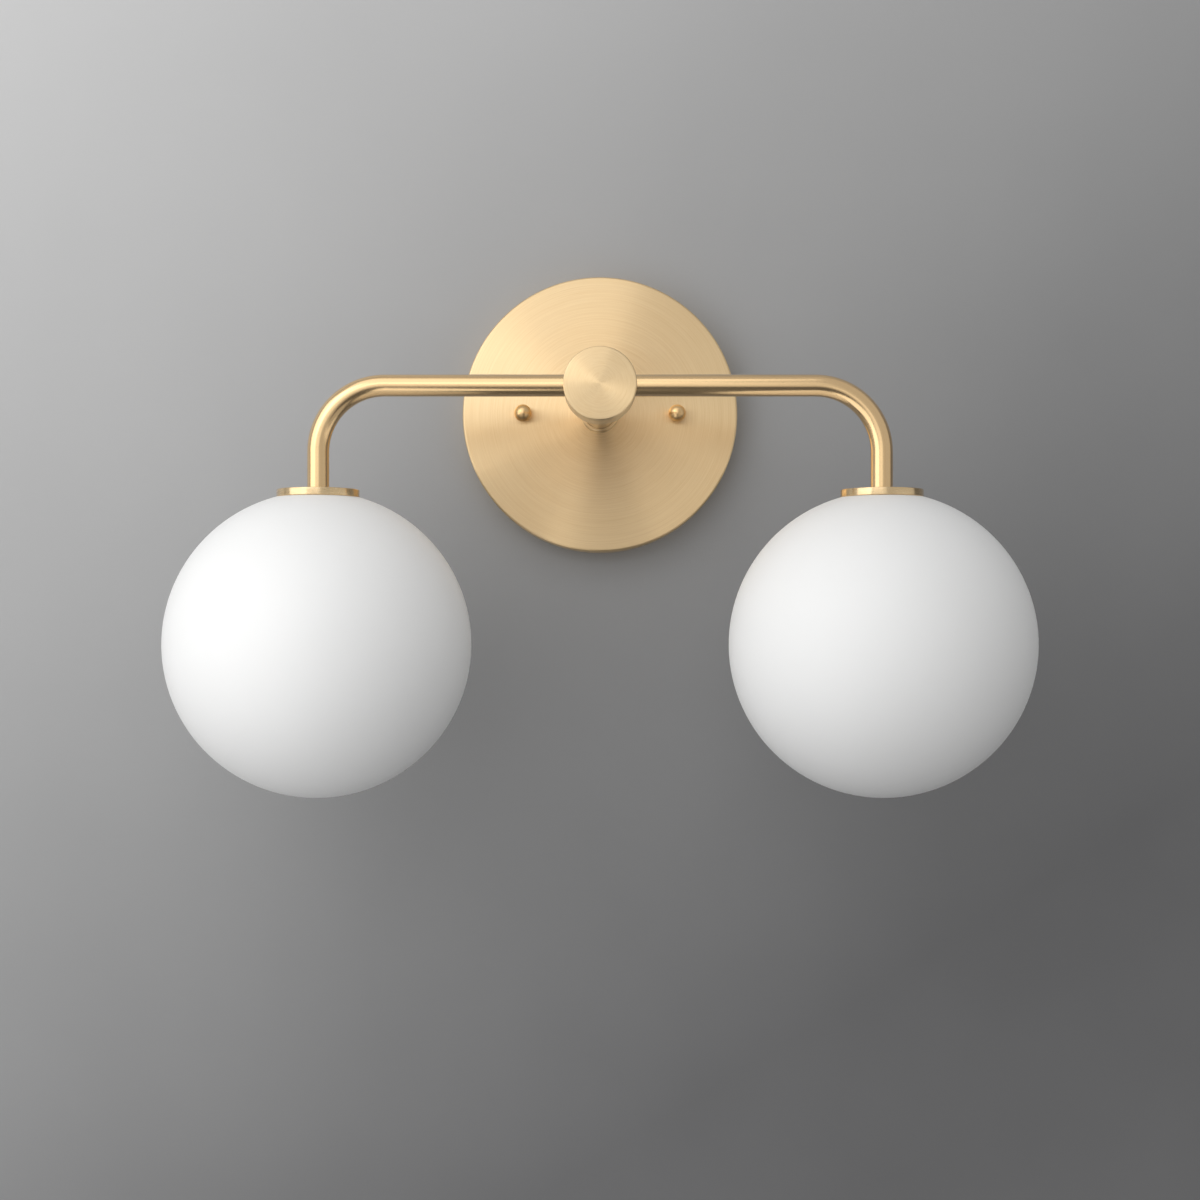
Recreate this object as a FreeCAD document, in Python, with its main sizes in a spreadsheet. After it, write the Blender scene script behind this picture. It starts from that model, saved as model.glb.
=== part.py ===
import FreeCAD, Part
import math
import os
from types import SimpleNamespace

import Sketcher

# Double arm wall sconce. Millimetres; the wall is the plane Y = 0, the light stands out
# towards -Y, +Z is up, and the origin is the centre of the canopy's rim.

SIZES = {
    # Layout
    "arm_reach": 136.0,  # wall to the arms' axis
    "arm_span": 276.6,  # axis to axis of the two globes
    "bend_radius": 32.5,  # of each arm, on its centre line
    "disc_drop": 51.2,  # arms' axis down to the top of the discs
    # Fits
    "thread_fit": 0.05,  # round a thread in its hole
    "slip_fit": 0.15,  # round a piece that slides in by hand
    # Mounting plate and its studs
    "plate_thickness": 1.6,
    "plate_width": 19.0,
    "plate_length": 104.0,
    "plate_corner": 4.0,
    "plate_hole_radius": 8.0,
    "box_screw_spacing": 79.4,  # slot centre to slot centre
    "box_slot_length": 14.0,
    "box_slot_half_width": 2.3,
    "stud_spacing": 85.0,
    "stud_radius": 2.05,
    "stud_head_radius": 3.2,
    "stud_head_height": 0.8,
    "stud_bevel": 0.5,
    "ground_screw_place": 22.0,  # left of the centre
    "ground_screw_radius": 2.0,
    "ground_head_radius": 3.8,
    "ground_head_height": 2.4,
    "ground_slot_width": 1.0,
    "ground_slot_depth": 1.2,
    # Canopy and ball nuts
    "canopy_radius": 76.2,
    "canopy_depth": 16.0,
    "canopy_wall": 1.2,
    "canopy_edge": 3.0,
    "stud_hole_room": 0.4,
    "ball_radius": 4.75,
    "ball_foot_radius": 3.9,
    "ball_neck_radius": 3.1,
    "ball_foot_height": 0.9,
    "ball_neck_height": 2.6,
    "ball_bore_depth": 7.0,
    "stud_end_room": 0.8,
    # Threaded tube, nut and washer behind the canopy
    "rod_bore_radius": 3.3,
    "rod_tail": 4.8,
    "washer_radius": 8.6,
    "washer_thickness": 0.8,
    "washer_notch_radius": 0.7,
    "locknut_flats": 14.0,
    "locknut_height": 3.2,
    # Stem and collar
    "stem_radius": 8.5,
    "stem_wall": 1.2,
    "collar_wall": 1.75,
    "collar_height": 6.0,
    "collar_edge": 1.0,
    # Hub
    "hub_radius": 18.0,
    "hub_front": 10.0,
    "hub_rear": 11.0,
    "hub_chamfer": 0.4,
    "hub_wireway_radius": 4.0,
    "arm_socket_depth": 5.0,
    "arm_thread_length": 4.7,
    "rod_thread_length": 7.8,
    "thread_end_room": 0.3,
    "set_screw_radius": 1.5,
    "set_screw_length": 5.2,
    "set_screw_inset": 2.7,
    "set_screw_key_flats": 1.5,
    "set_screw_key_depth": 1.5,
    # Arms
    "arm_radius": 5.4,
    "arm_wall": 1.6,
    "thread_step": 0.55,  # from the tube down to its threads, and the rod's
    # Fitter disc and gasket
    "disc_rim": 1.5,  # outside the gasket's groove
    "disc_thickness": 3.8,
    "disc_edge": 0.4,
    "gasket_room": 0.6,  # from the globe's mouth out to the gasket
    "gasket_width": 2.7,
    "gasket_stand": 0.1,  # how far it stands out of its groove
    "gasket_recess": 0.8,
    # Glass carrier, nut and lampholder
    "carrier_wall": 1.4,
    "carrier_top": 1.5,
    "carrier_height": 12.0,
    "arm_nut_flats": 13.0,
    "arm_nut_height": 3.0,
    "arm_thread_spare": 0.8,
    "holder_wall": 0.9,  # on both sides of its screw holes
    "holder_room": 0.8,  # inside the carrier
    "holder_height": 13.0,
    "holder_edge": 0.6,
    "nut_recess_room": 0.7,
    "nut_recess_depth": 9.0,
    "snout_radius": 7.8,
    "snout_height": 7.5,
    "holder_screw_radius": 1.25,
    "holder_head_radius": 2.2,
    "holder_head_height": 1.8,
    "contact_radius": 1.75,
    "contact_bore_radius": 0.75,
    "contact_length": 7.0,
    "contact_end_room": 0.5,
    # Plug-in lamp
    "lamp_gap": 0.3,
    "pin_spacing": 9.0,
    "pin_radius": 0.5,
    "pin_length": 6.5,
    "lamp_base_radius": 7.5,
    "lamp_base_height": 11.0,
    "lamp_base_edge": 1.0,
    "envelope_radius": 7.0,
    "envelope_length": 34.0,
    "envelope_wall": 0.8,
    "led_stick_radius": 2.6,
    "led_stick_length": 26.0,
    # Globe
    "globe_radius": 75.0,
    "globe_wall": 3.0,
    "globe_cap": 3.1,  # height ground off the top of the ball
    "globe_gap": 0.1,  # below the gasket
    "globe_thread_room": 0.3,
    "globe_lip_wall": 3.0,
    "globe_lip_length": 9.0,
    # Leads and their connectors
    "lead_radius": 0.9,
    "lead_side": 1.1,  # off the centre line, one lead on each side
    "lead_lift": 1.0,  # above it in the left arm, below it in the right arm
    "lead_bend": 3.0,
    "lead_end_room": 0.1,
    "lead_floor_room": 1.4,  # run out of the lampholder before it slants
    "lead_rod_room": 0.3,  # run out of the rod before it turns down
    "lead_drop": 3.0,  # run down before it slants to its connector
    "connector_radius": 3.4,
    "connector_bore_radius": 2.3,
    "connector_length": 14.0,
    "connector_edge": 1.2,
    "connector_clearance": 1.1,  # beside the plate's upright arm
    "connector_drop": 24.0,
}
WASHER_NOTCHES = 12
SIDES = (("left", -1), ("right", 1))


class Size:
    """A length together with the spreadsheet formula that gives it."""

    def __init__(self, value, formula=None):
        self.value = float(value)
        self.formula = formula or repr(float(value))

    @staticmethod
    def of(other):
        return other if isinstance(other, Size) else Size(other)

    def joined(self, sign, other, value):
        return Size(value, f"({self.formula} {sign} {other.formula})")

    def __add__(self, other):
        other = Size.of(other)
        return self.joined("+", other, self.value + other.value)

    def __sub__(self, other):
        other = Size.of(other)
        return self.joined("-", other, self.value - other.value)

    def __mul__(self, other):
        other = Size.of(other)
        return self.joined("*", other, self.value * other.value)

    def __truediv__(self, other):
        other = Size.of(other)
        return self.joined("/", other, self.value / other.value)

    def __radd__(self, other):
        return Size.of(other) + self

    def __rsub__(self, other):
        return Size.of(other) - self

    def __rmul__(self, other):
        return Size.of(other) * self

    def __neg__(self):
        return self * -1

    def root(self):
        return Size(math.sqrt(self.value), f"sqrt({self.formula})")


def size_sheet(doc):
    """Write the driving dimensions into a spreadsheet and hand them back as named sizes."""
    sheet = doc.addObject("Spreadsheet::Sheet", "sizes")
    for row, (alias, value) in enumerate(SIZES.items(), start=1):
        sheet.set(f"A{row}", alias)
        sheet.set(f"B{row}", str(value))
        sheet.setAlias(f"B{row}", alias)
    doc.recompute()
    return SimpleNamespace(**{alias: Size(sheet.get(alias), f"sizes.{alias}") for alias in SIZES})


def bind(thing, path, size):
    """Tie a property to its formula; a plain number needs none."""
    if "sizes." in Size.of(size).formula:
        thing.setExpression(path, size.formula)


def set_size(feature, name, size):
    setattr(feature, name, Size.of(size).value)
    bind(feature, name, size)


def new_body(name):
    body = doc.addObject("PartDesign::Body", name)
    body.Label = name
    return body


def place(piece, x=0, y=0, z=0, to_room=False):
    """Set a piece in the row's frame; to_room turns its own Z axis away from the wall."""
    turn = FreeCAD.Rotation(FreeCAD.Vector(1, 0, 0), 90 if to_room else 0)
    spots = [Size.of(spot) for spot in (x, y, z)]
    piece.Placement = FreeCAD.Placement(FreeCAD.Vector(*[spot.value for spot in spots]), turn)
    for axis, spot in zip("xyz", spots):
        bind(piece, f"Placement.Base.{axis}", spot)
    return piece


def sketch_on(body, plane, lift=0):
    """Start a sketch on one of the body's own origin planes, lifted along its normal."""
    sketch = body.newObject("Sketcher::SketchObject", f"{body.Name}_sketch")
    features = body.Origin.OriginFeatures
    sketch.AttachmentSupport = [(next(item for item in features if item.Role == plane), "")]
    sketch.MapMode = "FlatFace"
    lift = Size.of(lift)
    sketch.AttachmentOffset = FreeCAD.Placement(
        FreeCAD.Vector(0, 0, lift.value), FreeCAD.Rotation()
    )
    bind(sketch, "AttachmentOffset.Base.z", lift)
    return sketch


def fix(sketch, kind, refs, size, name):
    """Add one named dimension to a sketch and tie it to its formula."""
    size = Size.of(size)
    number = sketch.addConstraint(Sketcher.Constraint(kind, *refs, size.value))
    sketch.renameConstraint(number, name)
    bind(sketch, f"Constraints.{name}", size)


def arc_between(start, end, radius):
    """The shorter arc from start to end; a positive radius turns left, a negative one right."""
    chord = end - start
    rise = math.sqrt(max(radius**2 - (chord.Length / 2) ** 2, 0))
    left = FreeCAD.Vector(-chord.y, chord.x, 0).normalize()
    centre = (start + end) / 2 + left * math.copysign(rise, radius)
    first, last = (start, end) if radius > 0 else (end, start)
    angles = [math.atan2(point.y - centre.y, point.x - centre.x) for point in (first, last)]
    circle = Part.Circle(centre, FreeCAD.Vector(0, 0, 1), abs(radius))
    return Part.ArcOfCircle(circle, *angles)


def draw(sketch, corners, closed=True):
    """Draw straight edges and arcs through corners (across, up) or (across, up, radius).

    A radius turns the edge that arrives at its corner into an arc.
    """
    spots = [FreeCAD.Vector(Size.of(c[0]).value, Size.of(c[1]).value, 0) for c in corners]
    ends = []
    for number, corner in enumerate(corners):
        if number == 0 and not closed:
            continue
        start, end = spots[number - 1], spots[number]
        if len(corner) == 3:
            radius = Size.of(corner[2])
            edge = sketch.addGeometry(arc_between(start, end, radius.value), False)
            absolute = radius if radius.value > 0 else -radius
            fix(sketch, "Radius", (edge,), absolute, f"radius_{number}")
            ends.append((edge, 1, 2) if radius.value > 0 else (edge, 2, 1))
        else:
            edge = sketch.addGeometry(Part.LineSegment(start, end), False)
            ends.append((edge, 1, 2))
    for before, after in zip(ends, ends[1:]):
        sketch.addConstraint(Sketcher.Constraint("Coincident", before[0], before[2], after[0], after[1]))
    if closed:
        last, first = ends[-1], ends[0]
        sketch.addConstraint(Sketcher.Constraint("Coincident", last[0], last[2], first[0], first[1]))
        held = [(edge, stop) for edge, _, stop in ends]
    else:
        held = [(ends[0][0], ends[0][1])] + [(edge, stop) for edge, _, stop in ends]
    for number, ((edge, stop), corner) in enumerate(zip(held, corners)):
        fix(sketch, "DistanceX", (-1, 1, edge, stop), corner[0], f"across_{number}")
        fix(sketch, "DistanceY", (-1, 1, edge, stop), corner[1], f"up_{number}")
    return sketch


def draw_circle(sketch, across, up, radius, tag=""):
    across, up, radius = Size.of(across), Size.of(up), Size.of(radius)
    centre = FreeCAD.Vector(across.value, up.value, 0)
    edge = sketch.addGeometry(Part.Circle(centre, FreeCAD.Vector(0, 0, 1), radius.value), False)
    fix(sketch, "DistanceX", (-1, 1, edge, 3), across, f"centre_across{tag}")
    fix(sketch, "DistanceY", (-1, 1, edge, 3), up, f"centre_up{tag}")
    fix(sketch, "Radius", (edge,), radius, f"round{tag}")
    return sketch


def circles(sketch, rounds):
    for number, (across, up, radius) in enumerate(rounds):
        draw_circle(sketch, across, up, radius, f"_{number}")
    return sketch


def hexagon(sketch, flats):
    """A hexagon round the origin, measured across its flats."""
    reach = flats / math.sqrt(3)
    turns = [math.radians(60 * corner) for corner in range(6)]
    return draw(sketch, [(reach * math.cos(turn), reach * math.sin(turn)) for turn in turns])


def revolve(body, sketch, axis="V_Axis", kind="Revolution"):
    feature = body.newObject(f"PartDesign::{kind}", f"{body.Name}_{kind.lower()}")
    feature.Profile = sketch
    feature.ReferenceAxis = (sketch, [axis])
    feature.Angle = 360
    return feature


def pad(body, sketch, length, reverse=False):
    feature = body.newObject("PartDesign::Pad", f"{body.Name}_pad")
    feature.Profile = sketch
    feature.Reversed = reverse
    set_size(feature, "Length", length)
    return feature


def pocket(body, sketch, depth=None, reverse=False):
    """Cut downwards from the sketch, to a depth or right through."""
    feature = body.newObject("PartDesign::Pocket", f"{body.Name}_pocket")
    feature.Profile = sketch
    feature.Reversed = reverse
    if depth is None:
        feature.Type = "ThroughAll"
    else:
        set_size(feature, "Length", depth)
    return feature


def turned(name, corners):
    """A lathe-turned piece: one outline revolved about its own Z axis."""
    body = new_body(name)
    revolve(body, draw(sketch_on(body, "XZ_Plane"), corners))
    return body


def ring(name, inner, outer, low, high):
    return turned(name, [(inner, low), (outer, low), (outer, high), (inner, high)])


def bolt_outline(shank, head, head_height, length):
    """Outline of a round-headed screw whose head lies below zero and whose shank rises."""
    return [(0, -head_height), (head, -head_height), (head, 0), (shank, 0), (shank, length), (0, length)]


def group(name, pieces):
    """One node for identical loose pieces."""
    compound = doc.addObject("Part::Compound", name)
    compound.Label = name
    compound.Links = pieces
    return compound


# Places that several pieces share


def shared_places():
    """Work out, once, the places and radii where pieces meet."""
    at = SimpleNamespace()
    at.half_span = size.arm_span / 2
    at.thread = size.arm_radius - size.thread_step
    at.thread_hole = at.thread + size.thread_fit
    at.canopy_inside = size.canopy_depth - size.canopy_wall
    at.rod_start = at.canopy_inside - size.rod_tail
    at.hub_back = size.arm_reach - size.hub_rear
    at.arm_shoulder = size.hub_radius - size.arm_socket_depth
    at.arm_start = at.arm_shoulder - size.arm_thread_length
    at.arm_bore = size.arm_radius - size.arm_wall
    at.disc_bottom = -size.disc_drop - size.disc_thickness
    at.holder_top = at.disc_bottom - size.carrier_top
    at.arm_end = at.holder_top - size.arm_nut_height - size.arm_thread_spare
    at.holder_bottom = -size.holder_height - size.snout_height
    at.socket_top = at.holder_bottom + size.contact_end_room + size.contact_length
    at.lamp_top = at.holder_top + at.holder_bottom - size.lamp_gap
    at.nut_recess = size.arm_nut_flats / math.sqrt(3) + size.nut_recess_room
    at.holder_screw_hole = size.holder_screw_radius + size.slip_fit
    at.holder_screw_offset = at.nut_recess + size.holder_wall + at.holder_screw_hole
    at.holder_radius = at.holder_screw_offset + at.holder_screw_hole + size.holder_wall
    at.carrier_bore = at.holder_radius + size.holder_room
    at.carrier_radius = at.carrier_bore + size.carrier_wall
    at.globe_mouth = at.carrier_radius + size.globe_thread_room
    at.gasket_inner = at.globe_mouth + size.gasket_room
    at.gasket_outer = at.gasket_inner + size.gasket_width
    at.disc_radius = at.gasket_outer + size.slip_fit + size.disc_rim
    at.globe_top = at.disc_bottom - size.gasket_stand - size.globe_gap
    at.set_screw_offset = size.hub_radius - size.set_screw_inset
    at.lead_turn = size.lead_rod_room + size.lead_bend + size.lead_lift - at.rod_start
    at.connector_offset = size.plate_width / 2 + size.connector_clearance + size.connector_radius
    return at


# Wall plate and canopy


def mounting_plate():
    """Steel cross with slots for the wall box and holes for the canopy's studs."""
    body = new_body("mounting_plate")
    half, end = size.plate_width / 2, size.plate_length / 2
    quarter = [(end, -half), (end, half), (half, half)]
    corners = []
    for turn in range(4):
        cosine, sine = round(math.cos(turn * math.pi / 2)), round(math.sin(turn * math.pi / 2))
        corners += [(x * cosine - y * sine, x * sine + y * cosine) for x, y in quarter]
    cross = pad(body, draw(sketch_on(body, "XY_Plane"), corners), size.plate_thickness)
    doc.recompute()
    edges = enumerate(cross.Shape.Edges, start=1)
    half_way = size.plate_thickness.value / 2
    upright = [f"Edge{number}" for number, edge in edges if edge.BoundBox.ZLength > half_way]
    rounding = body.newObject("PartDesign::Fillet", "mounting_plate_corners")
    rounding.Base = (cross, upright)
    set_size(rounding, "Radius", size.plate_corner)
    holes = [
        (0, 0, size.plate_hole_radius),
        (-size.ground_screw_place, 0, size.ground_screw_radius + size.thread_fit),
    ]
    holes += [(sign * size.stud_spacing / 2, 0, size.stud_radius + size.thread_fit) for _, sign in SIDES]
    pocket(body, circles(sketch_on(body, "XY_Plane"), holes), reverse=True)
    recess = size.stud_head_radius + size.thread_fit
    heads = [(sign * size.stud_spacing / 2, 0, recess) for _, sign in SIDES]
    pocket(body, circles(sketch_on(body, "XY_Plane"), heads), size.stud_head_height, reverse=True)
    wide = size.box_slot_half_width
    reach = size.box_slot_length / 2 - wide
    for _, sign in SIDES:
        middle = sign * size.box_screw_spacing / 2
        slot = [
            (wide, middle - reach),
            (wide, middle + reach),
            (0, middle + reach + wide, wide),
            (-wide, middle + reach, wide),
            (-wide, middle - reach),
            (0, middle - reach - wide, wide),
        ]
        slot[0] = (*slot[0], wide)
        pocket(body, draw(sketch_on(body, "XY_Plane"), slot), reverse=True)
    return place(body, to_room=True)


def canopy_stud(side, sign):
    """Clinched stud: its flat head lies flush in the back of the plate."""
    end = size.canopy_depth + size.ball_bore_depth - size.stud_end_room
    corners = [
        (0, 0),
        (size.stud_head_radius, 0),
        (size.stud_head_radius, size.stud_head_height),
        (size.stud_radius, size.stud_head_height),
        (size.stud_radius, end - size.stud_bevel),
        (size.stud_radius - size.stud_bevel, end),
        (0, end),
    ]
    return place(turned(f"canopy_stud_{side}", corners), x=sign * size.stud_spacing / 2, to_room=True)


def ground_screw():
    """Round-headed earth screw with a driver slot, in front of the plate."""
    outline = bolt_outline(
        size.ground_screw_radius, size.ground_head_radius, size.ground_head_height, size.plate_thickness
    )
    body = turned("ground_screw", outline)
    half, end = size.ground_slot_width / 2, size.ground_head_radius * 2
    slot = [(-end, -half), (end, -half), (end, half), (-end, half)]
    face = sketch_on(body, "XY_Plane", -size.ground_head_height)
    pocket(body, draw(face, slot), size.ground_slot_depth, reverse=True)
    body.Placement = FreeCAD.Placement(FreeCAD.Vector(), FreeCAD.Rotation(FreeCAD.Vector(1, 0, 0), -90))
    bind(body, "Placement.Base.x", -size.ground_screw_place)
    bind(body, "Placement.Base.y", -size.plate_thickness)
    return body


def canopy():
    """Spun round pan with a rolled edge, a hole for the rod and two for the studs."""
    radius, wall, edge, depth = size.canopy_radius, size.canopy_wall, size.canopy_edge, size.canopy_depth
    hole = at.thread_hole + size.slip_fit
    corners = [
        (radius - wall, 0),
        (radius, 0),
        (radius, depth - edge),
        (radius - edge, depth, edge),
        (hole, depth),
        (hole, at.canopy_inside),
        (radius - edge, at.canopy_inside),
        (radius - wall, depth - edge, wall - edge),
    ]
    body = turned("canopy", corners)
    hole = size.stud_radius + size.stud_hole_room
    holes = [(sign * size.stud_spacing / 2, 0, hole) for _, sign in SIDES]
    pocket(body, circles(sketch_on(body, "XY_Plane"), holes), reverse=True)
    return place(body, to_room=True)


def ball_nut(side, sign):
    """Ball-shaped cap nut on a short waisted neck, tapped from behind."""
    rise = (size.ball_radius * size.ball_radius - size.ball_neck_radius * size.ball_neck_radius).root()
    middle = size.ball_neck_height + rise
    bore = size.stud_radius + size.thread_fit
    corners = [
        (bore, 0),
        (size.ball_foot_radius, 0),
        (size.ball_foot_radius, size.ball_foot_height),
        (size.ball_neck_radius, size.ball_neck_height),
        (size.ball_radius, middle, size.ball_radius),
        (0, middle + size.ball_radius, size.ball_radius),
        (0, size.ball_bore_depth),
        (bore, size.ball_bore_depth),
    ]
    body = turned(f"ball_nut_{side}", corners)
    return place(body, x=sign * size.stud_spacing / 2, y=-size.canopy_depth, to_room=True)


# Rod, stem and hub


def centre_rod():
    end = at.hub_back + size.rod_thread_length
    return place(
        ring("centre_rod", size.rod_bore_radius, at.thread, at.rod_start, end), to_room=True
    )


def lock_washer():
    """Toothed washer: a ring with notches all round."""
    face = at.canopy_inside - size.washer_thickness
    body = ring("lock_washer", at.thread_hole, size.washer_radius, face, at.canopy_inside)
    notch = sketch_on(body, "XY_Plane")
    draw_circle(notch, size.washer_radius, 0, size.washer_notch_radius)
    cut = pocket(body, notch, reverse=True)
    doc.recompute()
    pattern = body.newObject("PartDesign::PolarPattern", "lock_washer_teeth")
    pattern.Originals = [cut]
    pattern.Axis = (notch, ["N_Axis"])
    pattern.Angle = 360
    pattern.Occurrences = WASHER_NOTCHES
    body.Tip = pattern
    return place(body, to_room=True)


def hex_nut(name, flats, height, low):
    body = new_body(name)
    pad(body, hexagon(sketch_on(body, "XY_Plane", low), flats), height)
    bore = draw_circle(sketch_on(body, "XY_Plane", low), 0, 0, at.thread_hole)
    pocket(body, bore, height, reverse=True)
    return body


def canopy_locknut():
    low = at.canopy_inside - size.washer_thickness - size.locknut_height
    return place(hex_nut("canopy_locknut", size.locknut_flats, size.locknut_height, low), to_room=True)


def base_collar():
    """Low ring round the stem's foot, with a rounded front edge."""
    edge, high = size.collar_edge, size.collar_height
    bore = size.stem_radius + size.slip_fit
    radius = bore + size.collar_wall
    corners = [(bore, 0), (radius, 0), (radius, high - edge), (radius - edge, high, edge), (bore, high)]
    return place(turned("base_collar", corners), y=-size.canopy_depth, to_room=True)


def stem_tube():
    inner = size.stem_radius - size.stem_wall
    return place(
        ring("stem_tube", inner, size.stem_radius, size.canopy_depth, at.hub_back), to_room=True
    )


def hub():
    """Turned block, cross-drilled for the arms and drilled from behind for the rod."""
    radius, bevel = size.hub_radius, size.hub_chamfer
    outline = [
        (0, -size.hub_rear),
        (radius - bevel, -size.hub_rear),
        (radius, bevel - size.hub_rear),
        (radius, size.hub_front - bevel),
        (radius - bevel, size.hub_front),
        (0, size.hub_front),
    ]
    body = turned("hub", outline)
    past = radius * 2
    bottom = at.arm_start - size.thread_end_room
    socket = size.arm_radius + size.thread_fit
    half_bore = [
        (past, 0),
        (past, socket),
        (at.arm_shoulder, socket),
        (at.arm_shoulder, at.thread_hole),
        (bottom, at.thread_hole),
        (bottom, size.hub_wireway_radius),
    ]
    cross_bore = half_bore + [(-across, up) for across, up in reversed(half_bore)]
    revolve(body, draw(sketch_on(body, "XZ_Plane"), cross_bore), "H_Axis", "Groove")
    floor = size.rod_thread_length + size.thread_end_room - size.hub_rear
    back_bore = [
        (0, -past),
        (at.thread_hole, -past),
        (at.thread_hole, floor),
        (size.hub_wireway_radius, floor),
        (size.hub_wireway_radius, 0),
        (0, 0),
    ]
    revolve(body, draw(sketch_on(body, "XZ_Plane"), back_bore), "V_Axis", "Groove")
    hole = size.set_screw_radius + size.thread_fit
    holes = [(sign * at.set_screw_offset, 0, hole) for _, sign in SIDES]
    pocket(body, circles(sketch_on(body, "XY_Plane"), holes))
    return place(body, y=-size.arm_reach, to_room=True)


def arm_set_screw(side, sign):
    """Grub screw that bears on the arm, with its key socket to the back."""
    tip = size.arm_reach - size.arm_radius - size.thread_fit
    start = tip - size.set_screw_length
    body = new_body(f"arm_set_screw_{side}")
    shank = draw_circle(sketch_on(body, "XY_Plane", start), 0, 0, size.set_screw_radius)
    pad(body, shank, size.set_screw_length)
    key = hexagon(sketch_on(body, "XY_Plane", start), size.set_screw_key_flats)
    pocket(body, key, size.set_screw_key_depth, reverse=True)
    return place(body, x=sign * at.set_screw_offset, to_room=True)


# Arms


def arm_path(body, sign, start, end):
    """Centre line: out along X, round the bend and straight down."""
    corners = [
        (sign * start, 0),
        (sign * (at.half_span - size.bend_radius), 0),
        (sign * at.half_span, -size.bend_radius, -sign * size.bend_radius),
        (sign * at.half_span, end),
    ]
    return draw(sketch_on(body, "XZ_Plane"), corners, closed=False)


def pipe(body, kind, profile, path):
    feature = body.newObject(f"PartDesign::{kind}", f"{body.Name}_{kind.lower()}")
    feature.Profile = profile
    feature.Spine = (path, ["Edge1", "Edge2", "Edge3"])
    return feature


def arm(side, sign):
    """Bent tube with a turned-down thread at each end and one bore right through."""
    body = new_body(f"{side}_arm")
    profile = draw_circle(sketch_on(body, "YZ_Plane", sign * at.arm_shoulder), 0, 0, size.arm_radius)
    pipe(body, "AdditivePipe", profile, arm_path(body, sign, at.arm_shoulder, -size.disc_drop))
    hub_end = draw_circle(sketch_on(body, "YZ_Plane", sign * at.arm_shoulder), 0, 0, at.thread)
    pad(body, hub_end, size.arm_thread_length, reverse=sign > 0)
    lamp_end = sketch_on(body, "XY_Plane", -size.disc_drop)
    draw_circle(lamp_end, sign * at.half_span, 0, at.thread)
    pad(body, lamp_end, -size.disc_drop - at.arm_end, reverse=True)
    bore = draw_circle(sketch_on(body, "YZ_Plane", sign * at.arm_start), 0, 0, at.arm_bore)
    pipe(body, "SubtractivePipe", bore, arm_path(body, sign, at.arm_start, at.arm_end))
    return place(body, y=-size.arm_reach)


# Lamp end


def at_lamp(body, sign, z, y=0, x=0):
    """Place a piece on the axis of one globe."""
    return place(body, x=sign * at.half_span + x, y=y - size.arm_reach, z=z)


def fitter_disc(side, sign):
    """Turned disc with soft edges and a groove under it for the gasket."""
    radius, edge, low = at.disc_radius, size.disc_edge, -size.disc_thickness
    groove = low + size.gasket_recess
    inner, outer = at.gasket_inner - size.slip_fit, at.gasket_outer + size.slip_fit
    corners = [
        (at.thread_hole, 0),
        (at.thread_hole, low),
        (inner, low),
        (inner, groove),
        (outer, groove),
        (outer, low),
        (radius - edge, low),
        (radius, low + edge, edge),
        (radius, -edge),
        (radius - edge, 0, edge),
    ]
    return at_lamp(turned(f"{side}_fitter_disc", corners), sign, -size.disc_drop)


def gasket(side, sign):
    name = f"{side}_gasket"
    body = ring(name, at.gasket_inner, at.gasket_outer, -size.gasket_stand, size.gasket_recess)
    return at_lamp(body, sign, at.disc_bottom)


def glass_carrier(side, sign):
    """Cup, open below, whose outside carries the globe's thread."""
    corners = [
        (at.thread_hole, 0),
        (at.thread_hole, -size.carrier_top),
        (at.carrier_bore, -size.carrier_top),
        (at.carrier_bore, -size.carrier_height),
        (at.carrier_radius, -size.carrier_height),
        (at.carrier_radius, 0),
    ]
    body = turned(f"{side}_glass_carrier", corners)
    hole = size.holder_screw_radius + size.thread_fit
    holes = [(end * at.holder_screw_offset, 0, hole) for _, end in SIDES]
    pocket(body, circles(sketch_on(body, "XY_Plane"), holes))
    return at_lamp(body, sign, at.disc_bottom)


def arm_nut(side, sign):
    body = hex_nut(f"{side}_arm_nut", size.arm_nut_flats, size.arm_nut_height, -size.arm_nut_height)
    return at_lamp(body, sign, at.holder_top)


def lampholder(side, sign):
    """Ceramic holder: a flange with a recess over the nut, and a snout with two pin sockets."""
    radius, edge, shelf = at.holder_radius, size.holder_edge, -size.holder_height
    corners = [
        (at.nut_recess, 0),
        (at.nut_recess, -size.nut_recess_depth),
        (0, -size.nut_recess_depth),
        (0, at.holder_bottom),
        (size.snout_radius - edge, at.holder_bottom),
        (size.snout_radius, at.holder_bottom + edge),
        (size.snout_radius, shelf),
        (radius - edge, shelf),
        (radius, shelf + edge),
        (radius, 0),
    ]
    body = turned(f"{side}_lampholder", corners)
    screws = [(end * at.holder_screw_offset, 0, at.holder_screw_hole) for _, end in SIDES]
    pocket(body, circles(sketch_on(body, "XY_Plane"), screws))
    hole = size.lead_radius + size.slip_fit
    leads = [(0, end * size.pin_spacing / 2, hole) for _, end in SIDES]
    pocket(body, circles(sketch_on(body, "XY_Plane"), leads))
    hole = size.contact_radius + size.slip_fit
    sockets = [(0, end * size.pin_spacing / 2, hole) for _, end in SIDES]
    below = circles(sketch_on(body, "XY_Plane", at.holder_bottom), sockets)
    pocket(body, below, size.contact_length + 2 * size.contact_end_room, reverse=True)
    return at_lamp(body, sign, at.holder_top)


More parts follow.
